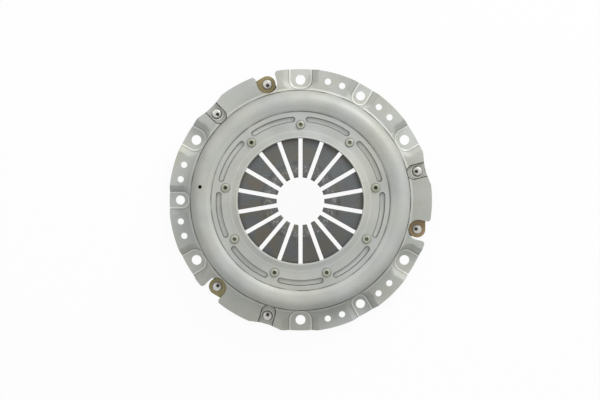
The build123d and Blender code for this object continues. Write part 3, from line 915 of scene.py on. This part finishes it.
# Radius and height in millimetres of the closed end, from the face it lies against
closed_end = ((0, -1.6), (4.4, -1.6), (4.8, -1.2), (4.8, 0), (3.0, 0))
shank_radius = 3.0 * MM
head_radius = 4.3 * MM
head_edge = 0.25 * MM
head_dome = 1.45 * MM
for pack in range(3):
    for kind, turn, seat, foot_seat, body in (
        ("cover", 14, 10.0 * MM, 5.78 * MM, "cover"),
        ("plate", -14, 6.42 * MM, 2.8 * MM, "pressure_plate"),
    ):
        angle = radians(120 * pack + turn)
        inward = Vector((-cos(angle), -sin(angle), 0))
        profile = [(radius * MM, foot_seat + height * MM) for radius, height in closed_end]
        profile += [(shank_radius, seat), (head_radius - 0.15 * MM, seat), (head_radius, seat + head_edge)]
        for step in range(21):
            lean = radians(12 + 78 * step / 21)
            profile.append((head_radius * cos(lean) ** 0.75, seat + head_edge + head_dome * sin(lean)))
        profile.append((0, seat + head_edge + head_dome))
        rivet = turned(
            f"{kind}_strap_rivet_head_{pack + 1}", profile,
            (strap_circle * cos(angle), strap_circle * sin(angle), 0), 56, punch, inward, seat,
        )
        rivet.data.materials.append(strap_rivet_steel)
        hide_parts(f"{kind}_strap_rivet_{pack + 1}")
        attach(rivet, body)

# ---- Diaphragm spring --------------------------------------------------------------------------
# A dished disc of 2.4 mm spring steel, slit into eighteen fingers. The release bearing pushes on
# their tips.

spring_gauge = 2.4 * MM
slit_angles = [radians(10 + 20 * index) for index in range(18)]
slit_middle = 41 * MM
slit_length = 56 * MM
slit_width = 3.75 * MM
root_hole = 8.6 * MM
finger_top = 36.53 * MM

# Radius and height of the upper face, from the finger tips to the rim
finger_line = (
    (21.6 * MM, finger_top - 0.6 * MM),
    (31.1 * MM, finger_top),
    (72.006 * MM, 28.35 * MM),
    (88.456 * MM, 24.24 * MM),
)


def finger_height(radius):
    """Height of the spring's upper face at a radius."""
    for (inner, low), (outer, high) in zip(finger_line, finger_line[1:]):
        if radius <= outer:
            return low + (high - low) * (radius - inner) / (outer - inner)
    return high


# A flat blank 1 mm thick is slit, and only its upper skin is kept
blank = bmesh.new()
tip_radius, disc_radius = finger_line[0][0], finger_line[-1][0]
radii = [tip_radius + step * (disc_radius - tip_radius) / 30 for step in range(31)]
upper, lower = ([blank.verts.new((radius, 0, height)) for radius in radii] for height in (1 * MM, 0))
outline = upper + lower[::-1]
for start, end in zip(outline, outline[1:] + outline[:1]):
    blank.edges.new((start, end))
bmesh.ops.spin(
    blank, geom=blank.verts[:] + blank.edges[:], cent=(0, 0, 0), axis=(0, 0, 1),
    angle=2 * pi, steps=360, use_merge=True,
)
bmesh.ops.recalc_face_normals(blank, faces=blank.faces[:])
spring = to_object("diaphragm_disc", blank)
slits = bmesh.new()
slit_size = Matrix.Diagonal((slit_length, slit_width, 6 * MM, 1))
for angle in slit_angles:
    slit = bmesh.ops.create_cube(slits, size=1, matrix=slit_size)["verts"]
    bmesh.ops.translate(slits, verts=slit, vec=(slit_middle, 0, 0))
    bmesh.ops.rotate(slits, cent=(0, 0, 0), matrix=Matrix.Rotation(angle, 3, "Z"), verts=slit)
work_sheet(spring, slits, "DIFFERENCE")
slits = bmesh.new()
for angle in slit_angles:
    add_round(slits, rivet_circle, angle, root_hole, -3 * MM, 3 * MM, segments=36)
work_sheet(spring, slits, "DIFFERENCE")

# The skin is dished and given its thickness
disc = bmesh.new()
disc.from_mesh(spring.data)
bmesh.ops.delete(
    disc, geom=[vert for vert in disc.verts if vert.co.z < 0.5 * MM], context="VERTS"
)
for vert in disc.verts:
    vert.co.z = finger_height(vert.co.xy.length)
bmesh.ops.recalc_face_normals(disc, faces=disc.faces[:])
if sum(face.normal.z for face in disc.faces) < 0:
    bmesh.ops.reverse_faces(disc, faces=disc.faces[:])
disc.to_mesh(spring.data)
disc.free()
gauge = spring.modifiers.new("gauge", "SOLIDIFY")
gauge.thickness = spring_gauge
gauge.offset = -1
gauge.use_even_offset = True
edge_round = spring.modifiers.new("edge_round", "BEVEL")
edge_round.limit_method = "ANGLE"
edge_round.angle_limit = radians(60)
edge_round.width = 0.35 * MM
edge_round.segments = 2
settle_mesh(spring)

spring_steel, spring_wear_and_shade, spring_shader = metal(
    "spring_steel", 0.3, 0.3, Colour=(0.104, 0.112, 0.115, 1), Stain_Colour=(0.067, 0.068, 0.068, 1),
    Stain=0.6, Scratches=0.08, Dirt=0.6, Roughness=0.5,
)

# One side has a straw tint. The bearing has scuffed the finger tips, and the steel is darker in a patchy
# band just outside them
tree = spring_steel.node_tree
x, y, _, lean = surface_place(tree)
distance = hypotenuse(tree, x, y)
upper_side = ramp(tree, lean, 0.0, 0.3)
left_side = ramp(tree, x, 40 * MM, -30 * MM, 0.45, 1.0)
tint = product(tree, left_side, ramp(tree, noise(tree, 55.0), 0.42, 0.60), 0.85)
tinted = blend_colour(tree, tint, spring_wear_and_shade.outputs["Colour"], (0.122, 0.108, 0.080))
scuffed = product(
    tree, upper_side, ramp(tree, distance, 35 * MM, 31 * MM), ramp(tree, distance, 24 * MM, 27 * MM),
    ramp(tree, noise(tree, 700.0, 4.0), 0.50, 0.62), 0.75,
)
worn = blend_colour(tree, scuffed, tinted, (0.28, 0.28, 0.27))
dark_band = product(
    tree, upper_side, ramp(tree, distance, 37.5 * MM, 35 * MM), ramp(tree, distance, 32 * MM, 34 * MM),
    ramp(tree, noise(tree, 160.0), 0.40, 0.58), 0.7,
)
banded = blend_colour(tree, dark_band, worn, (0.06, 0.058, 0.055))
tree.links.new(banded, spring_shader.inputs["Base Color"])
spring.data.materials.clear()
spring.data.materials.append(spring_steel)
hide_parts("diaphragm_spring")
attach(spring, "cover")
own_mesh(spring)

# ---- Fulcrum ring ------------------------------------------------------------------------------
# Drawn wire bent to a ring under the spring, its ends butted together with a small gap.

wire_steel, _, _ = metal(
    "wire_steel", 0.5, 0.1, Colour=(0.42, 0.42, 0.41, 1), Stain_Colour=(0.25, 0.23, 0.20, 1),
    Stain=0.3, Scratches=0.2, Dirt=0.6, Roughness=0.4,
)
wire_radius = 1.8 * MM
wire_height = 23.38 * MM
wire_gap = 1.5 * MM / fulcrum_radius
wire = bmesh.new()
section = bmesh.ops.create_circle(
    wire, cap_ends=True, segments=20, radius=wire_radius,
    matrix=Matrix.Translation((fulcrum_radius, 0, wire_height)) @ Matrix.Rotation(pi / 2, 4, "X"),
)["verts"]
first_end = Matrix.Rotation(radians(30) + wire_gap / 2, 3, "Z")
bmesh.ops.rotate(wire, cent=(0, 0, 0), verts=section, matrix=first_end)
bmesh.ops.spin(
    wire, geom=section[0].link_faces[:], cent=(0, 0, 0), axis=(0, 0, 1),
    angle=2 * pi - wire_gap, steps=200,
)
bmesh.ops.recalc_face_normals(wire, faces=wire.faces[:])
wire_ring = to_object("wire_ring", wire)
wire_ring.data.shade_smooth()
wire_ring.data.set_sharp_from_angle(angle=radians(50))
wire_ring.data.materials.append(wire_steel)
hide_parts("fulcrum_ring")
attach(wire_ring, "cover")

# ---- Fulcrum rivets ----------------------------------------------------------------------------
# Nine shouldered rivets hold the spring and the wire ring under the ledge. Their heads are zinc
# plated and dull yellow, with a deep dimple from the riveting punch.

fulcrum_rivet_steel, plated_wear_and_shade, plated_shader = metal(
    "fulcrum_rivet_steel", 0.3, 0.2, Colour=(0.47, 0.48, 0.42, 1), Stain_Colour=(0.33, 0.34, 0.23, 1),
    Stain=0.4, Scratches=0.15, Dirt=0.9, Roughness=0.42,
)
tree = fulcrum_rivet_steel.node_tree
olive = tint_by_mark(tree, "inner", plated_wear_and_shade.outputs["Colour"], (0.27, 0.285, 0.185))
# The bottom of each dimple is painted nearly black, painted shade of its depth
plated_tone = tint_by_mark(tree, "mark", olive, (0.012, 0.012, 0.008))
tree.links.new(plated_tone, plated_shader.inputs["Base Color"])


def darken_dimple(solid, darkness):
    """Flags the inner part of the head for its olive tint and the bottom of its dimple for painted shade,
    by the rivet's own darkness.
    """
    inner = solid.verts.layers.float.new("inner")
    mark = solid.verts.layers.float.new("mark")
    for vert in solid.verts:
        if vert.co.z > ledge_top:
            radius = vert.co.xy.length
            vert[inner] = darkness * darkness * (1 - ease((radius - 2.3 * MM) / (0.7 * MM)))
            vert[mark] = darkness * (1 - ease((radius - 1.3 * MM) / (0.5 * MM)))


# Radius and height in millimetres, of the head from its top and of the foot from its bearing face
head_top = ledge_top + 1.6 * MM
foot_top = 21.58 * MM
shoulder = 30.5 * MM
head_line = (
    (0, -1.2), (0.7, -1.2), (1.25, -1.05), (1.45, -0.6), (1.55, -0.3), (1.75, -0.1), (2.0, -0.03),
    (2.4, 0), (2.8, -0.02), (3.1, -0.12), (3.4, -0.32), (3.6, -0.6), (3.7, -0.95),
)
foot_line = ((3.3, 0), (6.3, 0), (6.5, -0.2), (6.5, -1.9), (6.3, -2.3), (5.9, -2.5), (0, -2.5))
profile = [(radius * MM, head_top + height * MM) for radius, height in head_line]
profile += [(3.7 * MM, ledge_top), (2.7 * MM, ledge_top), (2.7 * MM, shoulder), (3.3 * MM, shoulder)]
profile += [(radius * MM, foot_top + height * MM) for radius, height in foot_line]
dimple_darkness = (1.0, 0.62, 0.7, 1.0, 0.95, 0.7, 0.9, 0.8, 0.72)
for index, (angle, darkness) in enumerate(zip(rivet_angles, dimple_darkness)):
    rivet = turned(
        f"fulcrum_rivet_head_{index + 1}", profile[::-1],
        (rivet_circle * cos(angle), rivet_circle * sin(angle), 0), 48, darken_dimple, darkness,
    )
    rivet.data.materials.append(fulcrum_rivet_steel)
    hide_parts(f"fulcrum_rivet_{index + 1}")
    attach(rivet, "cover")

# ---- The last lines measure the bounds of the shown objects ------------------------------------
low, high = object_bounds()
